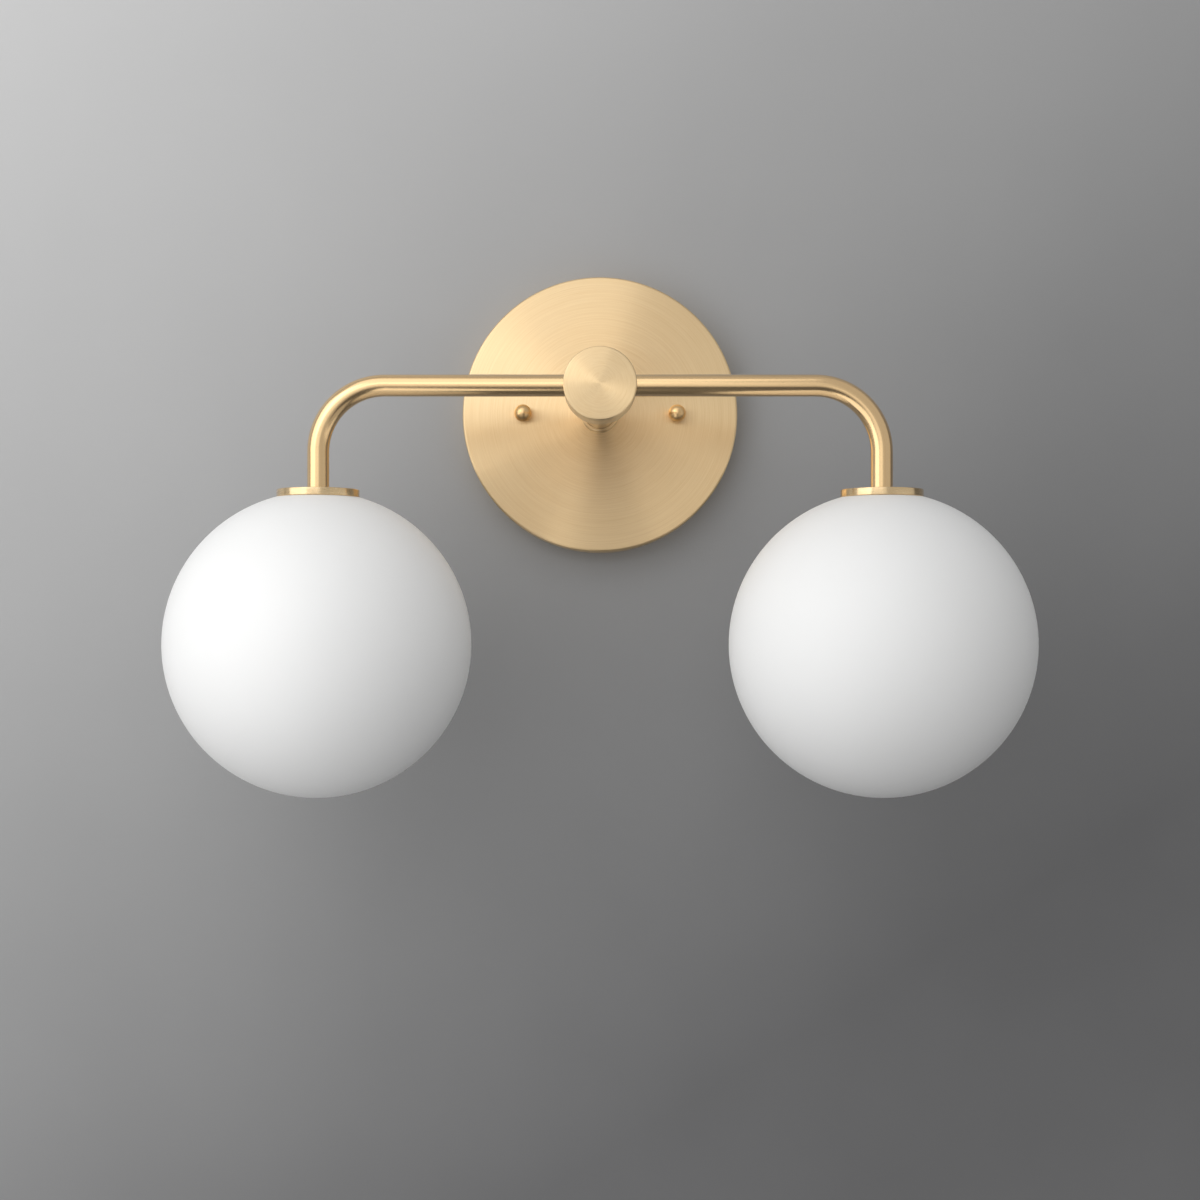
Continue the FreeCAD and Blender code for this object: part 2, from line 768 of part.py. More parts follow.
def lampholder_screws(side, sign):
    low = at.holder_top - size.holder_height
    length = size.holder_height + size.carrier_top - size.thread_end_room
    head, head_height = size.holder_head_radius, size.holder_head_height
    outline = bolt_outline(size.holder_screw_radius, head, head_height, length)
    screws = []
    for place_name, end in SIDES:
        screw = turned(f"{side}_lampholder_screw_{place_name}", outline)
        screws.append(at_lamp(screw, sign, low, x=end * at.holder_screw_offset))
    return group(f"{side}_lampholder_screws", screws)


def contacts(side, sign):
    """Two sleeves that grip the lamp's pins."""
    low = at.holder_top + at.holder_bottom + size.contact_end_room
    sleeves = []
    for place_name, end in SIDES:
        name = f"{side}_contact_{place_name}"
        sleeve = ring(name, size.contact_bore_radius, size.contact_radius, 0, size.contact_length)
        sleeves.append(at_lamp(sleeve, sign, low, y=end * size.pin_spacing / 2))
    return group(f"{side}_contacts", sleeves)


# Plug-in lamp


def bulb_pins(side, sign):
    pins = []
    for place_name, end in SIDES:
        pin = doc.addObject("Part::Cylinder", f"{side}_bulb_pin_{place_name}")
        set_size(pin, "Radius", size.pin_radius)
        set_size(pin, "Height", size.pin_length)
        pins.append(at_lamp(pin, sign, at.lamp_top, y=end * size.pin_spacing / 2))
    return group(f"{side}_bulb_pins", pins)


def bulb_base(side, sign):
    edge, radius, low = size.lamp_base_edge, size.lamp_base_radius, -size.lamp_base_height
    corners = [(0, low), (radius, low), (radius, -edge), (radius - edge, 0, edge), (0, 0)]
    return at_lamp(turned(f"{side}_bulb_base", corners), sign, at.lamp_top)


def bulb_envelope(side, sign):
    """Thin glass tube, closed below by a dome."""
    outer, inner = size.envelope_radius, size.envelope_radius - size.envelope_wall
    centre, low = outer - size.envelope_length, -size.envelope_length
    corners = [
        (inner, 0),
        (inner, centre),
        (0, low + size.envelope_wall, -inner),
        (0, low),
        (outer, centre, outer),
        (outer, 0),
    ]
    body = turned(f"{side}_bulb_envelope", corners)
    return at_lamp(body, sign, at.lamp_top - size.lamp_base_height)


def bulb_led_stick(side, sign):
    stick = doc.addObject("Part::Cylinder", f"{side}_bulb_led_stick")
    stick.Label = stick.Name
    set_size(stick, "Radius", size.led_stick_radius)
    set_size(stick, "Height", size.led_stick_length)
    return at_lamp(stick, sign, at.lamp_top - size.lamp_base_height - size.led_stick_length)


# Globe


def globe(side, sign):
    """Blown ball with a flat ground top, a round mouth and a moulded lip inside it."""
    outer, inner = size.globe_radius, size.globe_radius - size.globe_wall
    drop, mouth = outer - size.globe_cap, at.globe_mouth
    lip = mouth + size.globe_lip_wall
    shoulder = (outer * outer - drop * drop).root()
    under_lip = (inner * inner - lip * lip).root() - drop
    corners = [
        (mouth, 0),
        (mouth, -size.globe_lip_length),
        (lip, -size.globe_lip_length),
        (lip, under_lip),
        (0, -drop - inner, -inner),
        (0, -drop - outer),
        (shoulder, 0, outer),
    ]
    return at_lamp(turned(f"{side}_globe", corners), sign, at.globe_top)


# Leads


def bent_line(corners, radii):
    """Straight runs through the corners, each corner rounded by a tangent arc."""
    edges = []
    start = corners[0]
    for before, corner, after, radius in zip(corners, corners[1:], corners[2:], radii):
        back = (before - corner).normalize()
        ahead = (after - corner).normalize()
        half_turn = (math.pi - back.getAngle(ahead)) / 2
        tangent = radius * math.tan(half_turn)
        centre = corner + (back + ahead).normalize() * (radius / math.cos(half_turn))
        middle = centre + (corner - centre).normalize() * radius
        arc = Part.Arc(corner + back * tangent, middle, corner + ahead * tangent)
        edges += [Part.LineSegment(start, arc.StartPoint).toShape(), arc.toShape()]
        start = arc.EndPoint
    edges.append(Part.LineSegment(start, corners[-1]).toShape())
    return Part.Wire(edges)


def lead(sign, row):
    """One lead from its contact, through arm, hub and rod, to its connector in the canopy.

    row is 1 for the lead nearer the wall and -1 for the one nearer the room. The left arm's
    leads lie above the centre line, the right arm's below it, so that all four pass the rod.
    """
    bend, side_step, lift = size.lead_bend.value, size.lead_side.value, -sign * size.lead_lift.value
    axis_x, axis_y = at.half_span.value, -size.arm_reach.value
    contact_top = (at.holder_top + at.socket_top + size.lead_end_room).value
    above_floor = (at.holder_top - size.nut_recess_depth + size.lead_floor_room).value
    lead_y = axis_y + row * side_step
    pin_y = axis_y + row * size.pin_spacing.value / 2
    arm_x = sign * (axis_x + lift)
    rod_x = sign * row * side_step
    down_y = at.lead_turn.value + lift
    canopy_z = -(size.lead_lift + size.lead_bend + size.lead_drop).value
    connector_x = math.copysign(at.connector_offset.value, rod_x)
    slant = (at.connector_offset - size.lead_side).value
    end_z = -(size.connector_drop + size.connector_length / 2).value
    corners = [
        (sign * axis_x, pin_y, contact_top),
        (sign * axis_x, pin_y, above_floor),
        (arm_x, lead_y, at.arm_end.value),
        (arm_x, lead_y, lift),
        (rod_x, lead_y, lift),
        (rod_x, down_y, lift),
        (rod_x, down_y, canopy_z),
        (connector_x, down_y, canopy_z - slant),
        (connector_x, down_y, end_z),
    ]
    arm_bend = size.bend_radius.value + lift
    hub_bend = bend + (1 - row) * side_step
    canopy_bend = bend + size.lead_lift.value + lift
    radii = [bend, bend, arm_bend, hub_bend, canopy_bend, bend, bend]
    path = bent_line([FreeCAD.Vector(*corner) for corner in corners], radii)
    section = Part.Wire(Part.makeCircle(size.lead_radius.value, path.Vertexes[0].Point))
    tube = path.makePipeShell([section], True, False)
    off = tube.Volume / (math.pi * size.lead_radius.value**2 * path.Length) - 1
    print(f"lead {sign:+d} {row:+d}: {path.Length:.1f} mm long, volume off by {off:+.4%}")
    return tube


def lamp_leads(side, sign):
    leads = doc.addObject("Part::Feature", f"{side}_lamp_leads")
    leads.Label = leads.Name
    leads.Shape = Part.makeCompound([lead(sign, row) for row in (1, -1)])
    leads.Placement = FreeCAD.Placement()
    return leads


def wire_connector(side, sign):
    """Closed-end cap, open above, that joins one lead of each lamp."""
    outer, bore, edge = size.connector_radius, size.connector_bore_radius, size.connector_edge
    low = -size.connector_length
    corners = [
        (outer, 0),
        (bore, 0),
        (bore, low + outer - bore),
        (0, low + outer - bore),
        (0, low),
        (outer - edge, low),
        (outer, low + edge, edge),
    ]
    body = turned(f"wire_connector_{side}", corners)
    return place(body, x=sign * at.connector_offset, y=at.lead_turn, z=-size.connector_drop)


def pairs(name, make):
    return group(name, [make(side, sign) for side, sign in SIDES])


def all_pieces():
    pieces = [mounting_plate(), pairs("canopy_studs", canopy_stud), ground_screw(), canopy()]
    pieces += [pairs("ball_nuts", ball_nut), centre_rod(), lock_washer(), canopy_locknut()]
    pieces += [base_collar(), stem_tube(), hub(), pairs("arm_set_screws", arm_set_screw)]
    pieces.append(pairs("wire_connectors", wire_connector))
    makers = (arm, fitter_disc, gasket, glass_carrier, arm_nut, lampholder, lampholder_screws, contacts)
    makers += (lamp_leads, bulb_pins, bulb_base, bulb_envelope, bulb_led_stick, globe)
    for side, sign in SIDES:
        pieces += [make(side, sign) for make in makers]
    return pieces


def check(pieces):
    """Stop unless every object came out whole."""
    failed = [item.Name for item in doc.Objects if {"Invalid", "Error"} & set(item.State)]
    failed += [item.Name for item in pieces if item.Shape.isNull() or not item.Shape.isValid()]
    if failed:
        raise RuntimeError("not built: " + ", ".join(failed))


doc = FreeCAD.newDocument("double_arm_wall_sconce")
size = size_sheet(doc)
at = shared_places()
pieces = all_pieces()
doc.recompute()
check(pieces)
os.makedirs("parts", exist_ok=True)
for piece in pieces:
    piece.Shape.exportStep(f"parts/{piece.Label}.step")
    print(f"{piece.Label}: {len(piece.Shape.Solids)} solids, {piece.Shape.Volume:.1f} mm3")
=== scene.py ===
"""Double arm wall sconce in satin brass with opal globes, in front of a pale wall.

Metres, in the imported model's frame: the wall is the plane Y = 0, the light stands out of
it towards -Y, +X is to the right of someone facing it and +Z is up.
"""

import math

import bmesh
import bpy
from mathutils import Matrix, Vector


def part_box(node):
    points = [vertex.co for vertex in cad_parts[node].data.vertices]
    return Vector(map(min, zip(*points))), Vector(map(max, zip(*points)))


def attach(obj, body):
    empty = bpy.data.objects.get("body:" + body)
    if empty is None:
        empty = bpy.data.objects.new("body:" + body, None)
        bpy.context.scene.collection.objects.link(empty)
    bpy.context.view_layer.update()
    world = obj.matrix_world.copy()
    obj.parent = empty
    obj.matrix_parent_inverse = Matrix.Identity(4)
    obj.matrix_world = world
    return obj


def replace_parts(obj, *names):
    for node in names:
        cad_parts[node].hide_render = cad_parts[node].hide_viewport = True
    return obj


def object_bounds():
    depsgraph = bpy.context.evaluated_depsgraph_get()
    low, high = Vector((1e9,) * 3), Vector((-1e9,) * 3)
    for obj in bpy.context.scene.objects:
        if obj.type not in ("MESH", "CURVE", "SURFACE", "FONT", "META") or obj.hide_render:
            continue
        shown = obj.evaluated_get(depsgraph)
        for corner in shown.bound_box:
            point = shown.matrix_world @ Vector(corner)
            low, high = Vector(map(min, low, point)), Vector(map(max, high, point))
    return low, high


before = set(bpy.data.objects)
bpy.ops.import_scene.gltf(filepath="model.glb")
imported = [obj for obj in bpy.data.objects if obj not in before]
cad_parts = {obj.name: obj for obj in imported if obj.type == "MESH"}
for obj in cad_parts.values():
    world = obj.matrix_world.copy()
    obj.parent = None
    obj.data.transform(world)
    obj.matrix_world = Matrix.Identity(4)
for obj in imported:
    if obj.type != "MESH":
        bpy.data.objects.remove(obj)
cad_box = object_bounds()

MM = 0.001
SIDES = ("left", "right")


# Node trees


class Value:
    """A number coming out of a node, with arithmetic that adds Math nodes."""

    def __init__(self, finish, socket):
        self.finish = finish
        self.socket = socket

    def math(self, operation, *others):
        return self.finish.math(operation, self, *others)

    def __add__(self, other):
        return self.math("ADD", other)

    def __sub__(self, other):
        return self.math("SUBTRACT", other)

    def __mul__(self, other):
        return self.math("MULTIPLY", other)

    def __truediv__(self, other):
        return self.math("DIVIDE", other)

    def __rsub__(self, other):
        return self.finish.math("SUBTRACT", other, self)

    __radd__ = __add__
    __rmul__ = __mul__

    def above(self, floor):
        return self.math("MAXIMUM", floor)

    def below(self, ceiling):
        return self.math("MINIMUM", ceiling)


class Finish:
    """One material in the making."""

    # The Mix node's colour sockets go by number, because its other types share their names.
    MIX_FIRST, MIX_SECOND, MIX_RESULT = 6, 7, 2

    def __init__(self, name):
        self.material = bpy.data.materials.new(name)
        self.material.use_nodes = True
        self.nodes = self.material.node_tree.nodes
        self.links = self.material.node_tree.links
        self.nodes.clear()

    def feed(self, socket, value):
        if isinstance(value, Value):
            self.links.new(value.socket, socket)
        else:
            socket.default_value = value

    def node(self, kind, settings=None, sockets=None, output=0):
        """Add a node: its settings first, then the values or links of its sockets."""
        node = self.nodes.new(kind)
        for name, setting in (settings or {}).items():
            setattr(node, name, setting)
        for name, value in (sockets or {}).items():
            self.feed(node.inputs[name], value)
        return Value(self, node.outputs[output])

    def math(self, operation, *values):
        return self.node("ShaderNodeMath", {"operation": operation}, dict(enumerate(values)))

    def mix_colour(self, factor, first, second):
        sockets = {
            "Factor": factor,
            self.MIX_FIRST: self.colour(first),
            self.MIX_SECOND: self.colour(second),
        }
        return self.node("ShaderNodeMix", {"data_type": "RGBA"}, sockets, self.MIX_RESULT)

    @staticmethod
    def colour(value):
        return value if isinstance(value, Value) else (*value, 1)

    def place(self, seat=None):
        """Where a point of the piece lies at rest in the frame, as three values in metres.

        A piece with a seat has its own Z from there towards the room, and its own Y up.
        """
        point = self.node("ShaderNodeTexCoord", output="Object")
        x, y, z = (self.node("ShaderNodeSeparateXYZ", None, {0: point}, axis) for axis in range(3))
        if seat is None:
            return x, y, z
        return x + seat.x, seat.y - z, y + seat.z

    def vector(self, x, y, z):
        return self.node("ShaderNodeCombineXYZ", None, {0: x, 1: y, 2: z})

    def noise(self, vector, scale=1.0, detail=2.0):
        sockets = {"Vector": vector, "Scale": scale, "Detail": detail}
        return self.node("ShaderNodeTexNoise", None, sockets)

    def bump(self, height, depth, strength):
        sockets = {"Height": height, "Distance": depth, "Strength": strength}
        return self.node("ShaderNodeBump", None, sockets)

    def shader(self, **sockets):
        """A Principled shader, its sockets named with underscores."""
        named = {name.replace("_", " "): value for name, value in sockets.items()}
        named["Base Color"] = self.colour(named["Base Color"])
        return self.node("ShaderNodeBsdfPrincipled", None, named)

    def shade(self, **sockets):
        """End the material in a Principled shader."""
        return self.end(self.shader(**sockets))

    def end(self, shader):
        output = self.nodes.new("ShaderNodeOutputMaterial")
        self.feed(output.inputs["Surface"], shader)
        return self.material


def linear(red, green, blue):
    """A colour given in 0 to 255, as the shader wants it."""
    parts = [part / 255 for part in (red, green, blue)]
    return tuple(p / 12.92 if p <= 0.04045 else ((p + 0.055) / 1.055) ** 2.4 for p in parts)


# Places taken from the frame


def centre_of(node):
    low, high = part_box(node)
    return (low + high) / 2


def radius_of(node):
    """Half the width, along X, of a piece that is round about Y or Z."""
    low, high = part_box(node)
    return (high.x - low.x) / 2


LAMP_X = centre_of("right_fitter_disc").x
ARM_Y = centre_of("right_arm").y
ARM_BEND = 32.5 * MM  # radius of the bend in an arm's centre line
WALL_CENTRE = Vector((0, 0, 0))
TO_ROOM = Vector((0, -1, 0))
TO_RIGHT = Vector((1, 0, 0))
UPWARDS = Vector((0, 0, 1))


# Brass


BRASS_LIGHT = linear(251, 224, 178)
BRASS_DEEP = linear(226, 191, 138)
TUBE_LIGHT = linear(251, 217, 165)
TUBE_DEEP = linear(239, 199, 142)
LATHE_ROUGHNESS, DISC_ROUGHNESS, TUBE_ROUGHNESS = 0.34, 0.26, 0.21
LATHE_CUT, TUBE_CUT = 0.02, 0.006  # depth of the hairlines in millimetres
HAIRLINE_CONTRAST = 1.6
LATHE_GLOSS = {"Anisotropic": 0.95, "Anisotropic_Rotation": 0.25}


def satin_brass(finish, hairline, patch, rough, deep, light, cut, **gloss):
    """Brushed and lacquered brass: the hairlines show in colour, gloss and relief."""
    contrast = (hairline - 0.5) * HAIRLINE_CONTRAST + 0.5
    return finish.shade(
        Base_Color=finish.mix_colour(contrast * 0.8 + patch * 0.2, deep, light),
        Metallic=1.0,
        Roughness=rough + (hairline - 0.5) * 6 * cut + (patch - 0.5) * 0.05,
        Normal=finish.bump(hairline, cut * MM, 0.4),
        Coat_Weight=0.7,
        Coat_Roughness=0.25,
        **gloss,
    )


def lathe_brass(name, node, axis, rough=LATHE_ROUGHNESS, seat=None):
    """Brushed round and round on the lathe, about a line along Y or Z through the node."""
    finish = Finish(name)
    x, y, z = finish.place(seat)
    middle = centre_of(node)
    across = x - middle.x
    up, along = (z - middle.z, y) if axis == "Y" else (y - middle.y, z)
    radius = (across * across + up * up).math("SQRT")
    off_line = radius.above(0.2 * MM)
    turn_x, turn_y = across / off_line, up / off_line

    def rings(outwards, wander, lengthwise):
        """Rings this dense across and along the piece, which change as they go round."""
        around = finish.vector(radius * outwards, turn_x * wander, turn_y * wander + along * lengthwise)
        return finish.noise(around)

    hairline = 0.65 * rings(3200, 2.2, 900) + 0.35 * rings(1300, 1.1, 300)
    patch = finish.noise(finish.vector(x, y, z), 28.0)
    gloss = dict(LATHE_GLOSS)
    if axis == "Y" and seat is None:
        # Gloss goes round a piece's own Z, which isn't this one's turning line.
        gloss["Tangent"] = finish.node("ShaderNodeTangent", {"direction_type": "RADIAL", "axis": "Y"})
    return satin_brass(finish, hairline, patch, rough, BRASS_DEEP, BRASS_LIGHT, LATHE_CUT, **gloss)


def drawn_brass(name):
    """Tube brushed along its length, round the bend too."""
    finish = Finish(name)
    x, y, z = finish.place()
    straight = LAMP_X - ARM_BEND
    past_x = (x.math("ABSOLUTE") - straight).above(0.0)
    past_z = (z + ARM_BEND).above(0.0)
    off_line = (past_x * past_x + past_z * past_z).math("SQRT") - ARM_BEND
    turned = past_x.math("ARCTAN2", past_z) * ARM_BEND
    length = x.math("ABSOLUTE").below(straight) + turned - z.below(-ARM_BEND)
    section = finish.vector(off_line * 2600, (y - ARM_Y) * 2600, length * 14)
    fine, broad = finish.noise(section), finish.noise(section, 0.4)
    hairline = 0.6 * fine + 0.15 * broad + 0.125
    patch = finish.noise(finish.vector(x, y, z), 40.0)
    return satin_brass(finish, hairline, patch, TUBE_ROUGHNESS, TUBE_DEEP, TUBE_LIGHT, TUBE_CUT)


# Turned pieces


FINE_TURNS, BORE_TURNS, SMALL_TURNS = 192, 96, 48
SHARP = math.radians(40)
SLIDE_GAP, THREAD_GAP = 0.2 * MM, 0.05 * MM


def rounded(x, y, radius, start, steps=5):
    """Points of a quarter round about (x, y), anticlockwise from the start angle in degrees."""
    angles = [math.radians(start + 90 * step / steps) for step in range(steps + 1)]
    return [(x + radius * math.cos(angle), y + radius * math.sin(angle)) for angle in angles]


def soft_side(radius, length, edge):
    """The side of a turned block from its foot to its top, with both edges rounded."""
    return rounded(radius - edge, edge, edge, -90) + rounded(radius - edge, length - edge, edge, 0)


def place_on(seat, away):
    """The place of a form whose own Z leaves seat towards away."""
    return Matrix.Translation(seat) @ away.to_track_quat("Z", "Y").to_matrix().to_4x4()


def spun(profile, place, turns=FINE_TURNS):
    """Turn a closed profile of (radius, length) points about the Z axis of the place."""
    form = bmesh.new()
    corners = [form.verts.new((radius, 0, length)) for radius, length in profile]
    edges = [form.edges.new(ends) for ends in zip(corners, corners[1:] + corners[:1])]
    line = {"axis": (0, 0, 1), "cent": (0, 0, 0), "angle": math.tau}
    bmesh.ops.spin(form, geom=corners + edges, steps=turns, use_merge=True, **line)
    bmesh.ops.remove_doubles(form, verts=form.verts, dist=0.001 * MM)
    bmesh.ops.recalc_face_normals(form, faces=form.faces)
    form.transform(place)
    return form


def mesh_of(name, form):
    mesh = bpy.data.meshes.new(name)
    form.to_mesh(mesh)
    form.free()
    return mesh


def shown(name, mesh):
    piece = bpy.data.objects.new(name, mesh)
    bpy.context.scene.collection.objects.link(piece)
    return piece


def bore(piece, cuts):
    """Cut the forms out of the piece."""
    tools = [shown("cutter", mesh_of("cutter", cut)) for cut in cuts]
    for tool in tools:
        modifier = piece.modifiers.new("bore", "BOOLEAN")
        modifier.object, modifier.operation, modifier.solver = tool, "DIFFERENCE", "EXACT"
    graph = bpy.context.evaluated_depsgraph_get()
    piece.data = bpy.data.meshes.new_from_object(piece.evaluated_get(graph))
    piece.modifiers.clear()
    form = bmesh.new()
    form.from_mesh(piece.data)
    bmesh.ops.remove_doubles(form, verts=form.verts, dist=0.003 * MM)
    form.to_mesh(piece.data)
    form.free()
    piece.data.set_sharp_from_angle(angle=SHARP)
    for tool in tools:
        bpy.data.objects.remove(tool)


def piece_of(name, form, material, body, cuts=(), place=None):
    """Make a piece of a form less its cuts, shaded smooth but for its edges.

    With a place, that becomes the piece's own, while the form stays where it is.
    """
    mesh = mesh_of(name, form)
    mesh.shade_smooth()
    mesh.set_sharp_from_angle(angle=SHARP)
    mesh.materials.append(material)
    piece = shown(name, mesh)
    if cuts:
        bore(piece, cuts)
    if place:
        piece.data.transform(place.inverted())
        piece.matrix_world = place
    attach(piece, body)
    return piece


def canopy():
    """Spun pan with a crisp rolled edge."""
    wall, edge = 1.2 * MM, 1.3 * MM
    low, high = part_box("canopy")
    radius, depth = radius_of("canopy"), high.y - low.y
    hole = radius_of("centre_rod") + SLIDE_GAP
    profile = [(radius - wall, 0), (radius, 0)]
    profile += rounded(radius - edge, depth - edge, edge, 0)
    profile += [(hole, depth), (hole, depth - wall), (radius - wall, depth - wall)]
    brass = lathe_brass("canopy_brass", "canopy", "Y", seat=WALL_CENTRE)
    place = place_on(WALL_CENTRE, TO_ROOM)
    form = spun(profile, place)
    pan = piece_of("canopy_pan", form, brass, "fixture", place=place)
    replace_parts(pan, "canopy")


HUB_EDGE = 0.7 * MM
WIRE_WAY = 4 * MM  # radius of the way for the leads
ARM_GAP = 0.6 * MM  # from the threaded tube's radius to that of an arm's bore
ARM_SHOULDER, ARM_END = 13 * MM, 8 * MM  # from the hub's middle to an arm's full width and its end
ROD_DEPTH = 8.1 * MM


def hub_bores(radius, length, back):
    """The ways through the hub: across for the arms, and from behind for the rod and the grub screws."""
    rod = radius_of("centre_rod")
    arm, thread = rod + ARM_GAP, rod + THREAD_GAP
    half = [(0, 2 * radius), (arm, 2 * radius), (arm, ARM_SHOULDER), (thread, ARM_SHOULDER)]
    half += [(thread, ARM_END), (WIRE_WAY, ARM_END)]
    cross = half + [(wide, -along) for wide, along in reversed(half)]
    middle = back.y - ARM_Y
    inward = [(0, -length), (thread, -length), (thread, ROD_DEPTH), (WIRE_WAY, ROD_DEPTH)]
    inward += [(WIRE_WAY, middle), (0, middle)]
    screw_low, screw_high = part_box("arm_set_screws")
    screw = (screw_high.z - screw_low.z) / 2
    hole = [(0, -length), (screw + THREAD_GAP, -length), (screw + THREAD_GAP, middle), (0, middle)]
    holes = [
        spun(hole, place_on(Vector((x, back.y, 0)), TO_ROOM), SMALL_TURNS)
        for x in (screw_low.x + screw, screw_high.x - screw)
    ]
    return [
        spun(cross, place_on(Vector((0, ARM_Y, 0)), TO_RIGHT), BORE_TURNS),
        spun(inward, place_on(back, TO_ROOM), BORE_TURNS),
        *holes,
    ]


def hub():
    """Turned block with softened edges, bored for the arms, the threaded tube and its grub screws."""
    low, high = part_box("hub")
    radius, length = radius_of("hub"), high.y - low.y
    back = Vector((0, high.y, 0))
    profile = [(0, 0), *soft_side(radius, length, HUB_EDGE), (0, length)]
    brass = lathe_brass("hub_brass", "hub", "Y", seat=back)
    place = place_on(back, TO_ROOM)
    form, cuts = spun(profile, place), hub_bores(radius, length, back)
    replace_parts(piece_of("hub_block", form, brass, "fixture", cuts, place), "hub")


def fitter_disc(side):
    """Turned disc with softened edges and a groove under it for the gasket."""
    edge, groove_depth, inner_gap, outer_gap = 0.4 * MM, 0.8 * MM, 2.85 * MM, 0.15 * MM
    node = f"{side}_fitter_disc"
    low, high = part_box(node)
    radius, height, gasket = radius_of(node), high.z - low.z, radius_of(f"{side}_gasket")
    hole = radius_of("centre_rod") + THREAD_GAP
    inner, outer = gasket - inner_gap, gasket + outer_gap
    profile = [(hole, height), (hole, 0), (inner, 0), (inner, groove_depth)]
    profile += [(outer, groove_depth), (outer, 0), *soft_side(radius, height, edge)]
    middle = centre_of(node)
    form = spun(profile, place_on(Vector((middle.x, middle.y, low.z)), UPWARDS))
    brass = lathe_brass(f"{side}_disc_brass", node, "Z", DISC_ROUGHNESS)
    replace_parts(piece_of(f"{side}_disc", form, brass, "fixture"), node)


# Small details


def block(form, seat, width, depth, height, taper=1.0):
    """Add a closed block that stands on seat and narrows to its top."""
    ring = [(-0.5, -0.5), (0.5, -0.5), (0.5, 0.5), (-0.5, 0.5)]
    foot = [form.verts.new(seat @ Vector((x * width, y * depth, 0))) for x, y in ring]
    top = [form.verts.new(seat @ Vector((x * width * taper, y * depth * taper, height))) for x, y in ring]
    form.faces.new(reversed(foot))
    form.faces.new(top)
    for here, there in ((0, 1), (1, 2), (2, 3), (3, 0)):
        form.faces.new((foot[here], foot[there], top[there], top[here]))


def holder_screws(side, material):
    """Two slotted screws with domed heads, under the lampholder's flange."""
    shank, head_height, tip = 1.25 * MM, 1.8 * MM, 0.3 * MM
    slot_width, slot_angles = 0.6 * MM, (20, 65)
    low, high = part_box(f"{side}_lampholder_screws")
    head, length = (high.y - low.y) / 2, high.z - low.z
    profile = [(0, 0), (head * 0.55, 0.12 * MM), (head * 0.85, 0.4 * MM), (head, 0.8 * MM)]
    profile += [(head, head_height), (shank, head_height)]
    profile += [(shank, length - tip), (shank - tip, length), (0, length)]
    seats = [Vector((x, (low.y + high.y) / 2, low.z)) for x in (low.x + head, high.x - head)]
    screws = bmesh.new()
    slots = bmesh.new()
    for seat, angle in zip(seats, slot_angles):
        turned = mesh_of("screw", spun(profile, place_on(seat, UPWARDS), SMALL_TURNS))
        screws.from_mesh(turned)
        bpy.data.meshes.remove(turned)
        under = Matrix.Translation(seat - Vector((0, 0, MM)))
        across = under @ Matrix.Rotation(math.radians(angle), 4, "Z")
        block(slots, across, 3 * head, slot_width, 1.9 * MM)
    piece = piece_of(f"{side}_holder_screws", screws, material, "fixture", [slots])
    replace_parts(piece, f"{side}_lampholder_screws")


def globe_thread(side, material):
    """Rounded ridge that winds round the carrier for the globe's mouth."""
    pitch, rise, foot, turns = 3.2 * MM, 0.22 * MM, 1.4 * MM, 2.5
    start, sunk, steps, run_out = 1.2 * MM, 0.02 * MM, 96, 12
    # The ridge's section: how far in as a length or out as a share of the rise, and a share of the foot.
    section = [(-0.2 * MM, 0), (0.8, 0.3), (1.0, 0.5), (0.8, 0.7), (-0.2 * MM, 1)]
    node = f"{side}_glass_carrier"
    low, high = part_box(node)
    radius, middle = radius_of(node), centre_of(node)
    form = bmesh.new()
    rings = []
    last = int(turns * steps)
    for step in range(last + 1):
        angle = math.tau * step / steps
        swell = rise * min(1, step / run_out, (last - step) / run_out)
        ring = []
        for out, up in section:
            reach = radius + (out if out < 0 else out * swell - sunk)
            x, y = middle.x + reach * math.cos(angle), middle.y + reach * math.sin(angle)
            ring.append(form.verts.new((x, y, low.z + start + pitch * step / steps + up * foot)))
        rings.append(ring)
    for first, second in zip(rings, rings[1:]):
        for here in range(len(section)):
            there = (here + 1) % len(section)
            form.faces.new((first[here], second[here], second[there], first[there]))
    form.faces.new(rings[0])
    form.faces.new(reversed(rings[-1]))
    bmesh.ops.recalc_face_normals(form, faces=form.faces)
    piece_of(f"{side}_carrier_thread", form, material, "fixture")


def led_chips(side, material):
    """Rows of small emitters round the lamp's board, each row half a step on from the last."""
    rows, columns, first_row, row_pitch = 9, 6, 1.9, 2.75
    length, width, height, sunk = 1.5 * MM, 1.3 * MM, 0.4 * MM, 0.1 * MM
    node = f"{side}_bulb_led_stick"
    low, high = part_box(node)
    middle, radius = centre_of(node), radius_of(node)
    outwards = Matrix.Translation((radius - sunk, 0, 0)) @ Matrix.Rotation(math.radians(90), 4, "Y")
    form = bmesh.new()
    for row in range(rows):
        level = Matrix.Translation((middle.x, middle.y, low.z + (first_row + row_pitch * row) * MM))
        for column in range(columns):
            turn = Matrix.Rotation(math.radians(60 * column + 30 * (row % 2)), 4, "Z")
            block(form, level @ turn @ outwards, length, width, height, 0.8)
    piece_of(f"{side}_led_chips", form, material, f"{side}_lamp_body")


